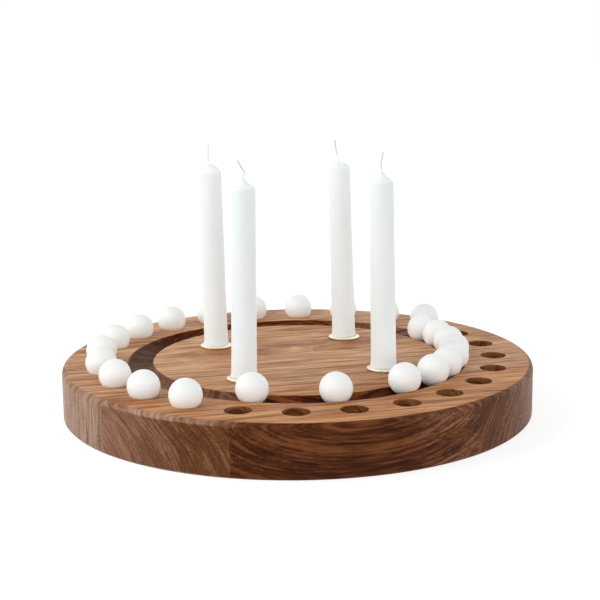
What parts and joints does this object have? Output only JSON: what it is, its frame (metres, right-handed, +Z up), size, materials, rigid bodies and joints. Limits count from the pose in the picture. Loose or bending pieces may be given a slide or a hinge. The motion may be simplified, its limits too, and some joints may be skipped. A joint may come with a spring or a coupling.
{
  "type": "advent candle holder",
  "caption": "Round walnut advent holder with candles in brass cups, a ring of sockets holding white balls, and a round track where the rest of the balls wait or roll.",
  "frame": {"origin": "centre of the disc's underside", "axes": "+Z up out of the disc, +X to the right in the picture, +Y away from the camera"},
  "size_m": [0.382, 0.382, 0.2125],
  "materials": {
    "walnut": "oiled walnut, sanded smooth",
    "brass": "turned brass, pale satin",
    "wax": "dipped white paraffin wax",
    "wick": "braided cotton wick, waxed",
    "white_ball": "white satin lacquer on turned wood"
  },
  "bodies": {
    "holder": {"walnut_board_1": "walnut", "walnut_board_2": "walnut", "walnut_board_3": "walnut", "walnut_board_4": "walnut", "walnut_board_5": "walnut", "candle_cup_1": "brass", "candle_cup_2": "brass", "candle_cup_3": "brass", "candle_cup_4": "brass"},
    "candle_1": {"candle_1": "wax", "wick_1": "wick"},
    "candle_2": {"candle_2": "wax", "wick_2": "wick"},
    "candle_3": {"candle_3": "wax", "wick_3": "wick"},
    "candle_4": {"candle_4": "wax", "wick_4": "wick"},
    "socket_ball_01": {"socket_ball_01": "white_ball"},
    "socket_ball_02": {"socket_ball_02": "white_ball"},
    "socket_ball_03": {"socket_ball_03": "white_ball"},
    "socket_ball_04": {"socket_ball_04": "white_ball"},
    "socket_ball_05": {"socket_ball_05": "white_ball"},
    "socket_ball_06": {"socket_ball_06": "white_ball"},
    "socket_ball_07": {"socket_ball_07": "white_ball"},
    "socket_ball_08": {"socket_ball_08": "white_ball"},
    "socket_ball_09": {"socket_ball_09": "white_ball"},
    "socket_ball_10": {"socket_ball_10": "white_ball"},
    "socket_ball_11": {"socket_ball_11": "white_ball"},
    "socket_ball_12": {"socket_ball_12": "white_ball"},
    "socket_ball_13": {"socket_ball_13": "white_ball"},
    "socket_ball_14": {"socket_ball_14": "white_ball"},
    "track_ball_01": {"track_ball_01": "white_ball"},
    "track_ball_02": {"track_ball_02": "white_ball"},
    "track_ball_03": {"track_ball_03": "white_ball"},
    "track_ball_04": {"track_ball_04": "white_ball"},
    "track_ball_05": {"track_ball_05": "white_ball"},
    "track_ball_06": {"track_ball_06": "white_ball"},
    "track_ball_07": {"track_ball_07": "white_ball"},
    "track_ball_08": {"track_ball_08": "white_ball"},
    "track_ball_09": {"track_ball_09": "white_ball"},
    "track_ball_10": {"track_ball_10": "white_ball"}
  },
  "joints": [
    {"name": "candle_1_lift", "type": "slide", "parent": "holder", "child": "candle_1", "axis": [-0.0236, 0, 0.9997], "range_m": [0, 0.04]},
    {"name": "candle_2_lift", "type": "slide", "parent": "holder", "child": "candle_2", "axis": [-0.0122, 0, 0.9999], "range_m": [0, 0.04]},
    {"name": "candle_3_lift", "type": "slide", "parent": "holder", "child": "candle_3", "axis": [0.0131, 0, 0.9999], "range_m": [0, 0.04]},
    {"name": "candle_4_lift", "type": "slide", "parent": "holder", "child": "candle_4", "axis": [-0.0113, 0, 0.9999], "range_m": [0, 0.04]},
    {"name": "socket_ball_01_lift", "type": "slide", "parent": "holder", "child": "socket_ball_01", "axis": [0, 0, 1], "range_m": [0, 0.03]},
    {"name": "socket_ball_02_lift", "type": "slide", "parent": "holder", "child": "socket_ball_02", "axis": [0, 0, 1], "range_m": [0, 0.03]},
    {"name": "socket_ball_03_lift", "type": "slide", "parent": "holder", "child": "socket_ball_03", "axis": [0, 0, 1], "range_m": [0, 0.03]},
    {"name": "socket_ball_04_lift", "type": "slide", "parent": "holder", "child": "socket_ball_04", "axis": [0, 0, 1], "range_m": [0, 0.03]},
    {"name": "socket_ball_05_lift", "type": "slide", "parent": "holder", "child": "socket_ball_05", "axis": [0, 0, 1], "range_m": [0, 0.03]},
    {"name": "socket_ball_06_lift", "type": "slide", "parent": "holder", "child": "socket_ball_06", "axis": [0, 0, 1], "range_m": [0, 0.03]},
    {"name": "socket_ball_07_lift", "type": "slide", "parent": "holder", "child": "socket_ball_07", "axis": [0, 0, 1], "range_m": [0, 0.03]},
    {"name": "socket_ball_08_lift", "type": "slide", "parent": "holder", "child": "socket_ball_08", "axis": [0, 0, 1], "range_m": [0, 0.03]},
    {"name": "socket_ball_09_lift", "type": "slide", "parent": "holder", "child": "socket_ball_09", "axis": [0, 0, 1], "range_m": [0, 0.03]},
    {"name": "socket_ball_10_lift", "type": "slide", "parent": "holder", "child": "socket_ball_10", "axis": [0, 0, 1], "range_m": [0, 0.03]},
    {"name": "socket_ball_11_lift", "type": "slide", "parent": "holder", "child": "socket_ball_11", "axis": [0, 0, 1], "range_m": [0, 0.03]},
    {"name": "socket_ball_12_lift", "type": "slide", "parent": "holder", "child": "socket_ball_12", "axis": [0, 0, 1], "range_m": [0, 0.03]},
    {"name": "socket_ball_13_lift", "type": "slide", "parent": "holder", "child": "socket_ball_13", "axis": [0, 0, 1], "range_m": [0, 0.03]},
    {"name": "socket_ball_14_lift", "type": "slide", "parent": "holder", "child": "socket_ball_14", "axis": [0, 0, 1], "range_m": [0, 0.03]},
    {"name": "track_ball_01_roll", "type": "hinge", "parent": "holder", "child": "track_ball_01", "pos_m": [0, 0, 0.04817], "axis": [0, 0, 1], "range_deg": [-200, 8.2]},
    {"name": "track_ball_02_roll", "type": "hinge", "parent": "holder", "child": "track_ball_02", "pos_m": [0, 0, 0.04817], "axis": [0, 0, 1], "range_deg": [-8.2, 7.4]},
    {"name": "track_ball_03_roll", "type": "hinge", "parent": "holder", "child": "track_ball_03", "pos_m": [0, 0, 0.04817], "axis": [0, 0, 1], "range_deg": [-7, 4.1]},
    {"name": "track_ball_04_lift", "type": "slide", "parent": "holder", "child": "track_ball_04", "axis": [0, 0, 1], "range_m": [0, 0.03]},
    {"name": "track_ball_05_lift", "type": "slide", "parent": "holder", "child": "track_ball_05", "axis": [0, 0, 1], "range_m": [0, 0.03]},
    {"name": "track_ball_06_lift", "type": "slide", "parent": "holder", "child": "track_ball_06", "axis": [0, 0, 1], "range_m": [0, 0.03]},
    {"name": "track_ball_07_lift", "type": "slide", "parent": "holder", "child": "track_ball_07", "axis": [0, 0, 1], "range_m": [0, 0.03]},
    {"name": "track_ball_08_lift", "type": "slide", "parent": "holder", "child": "track_ball_08", "axis": [0, 0, 1], "range_m": [0, 0.03]},
    {"name": "track_ball_09_lift", "type": "slide", "parent": "holder", "child": "track_ball_09", "axis": [0, 0, 1], "range_m": [0, 0.03]},
    {"name": "track_ball_10_lift", "type": "slide", "parent": "holder", "child": "track_ball_10", "axis": [0, 0, 1], "range_m": [0, 0.03]}
  ]
}
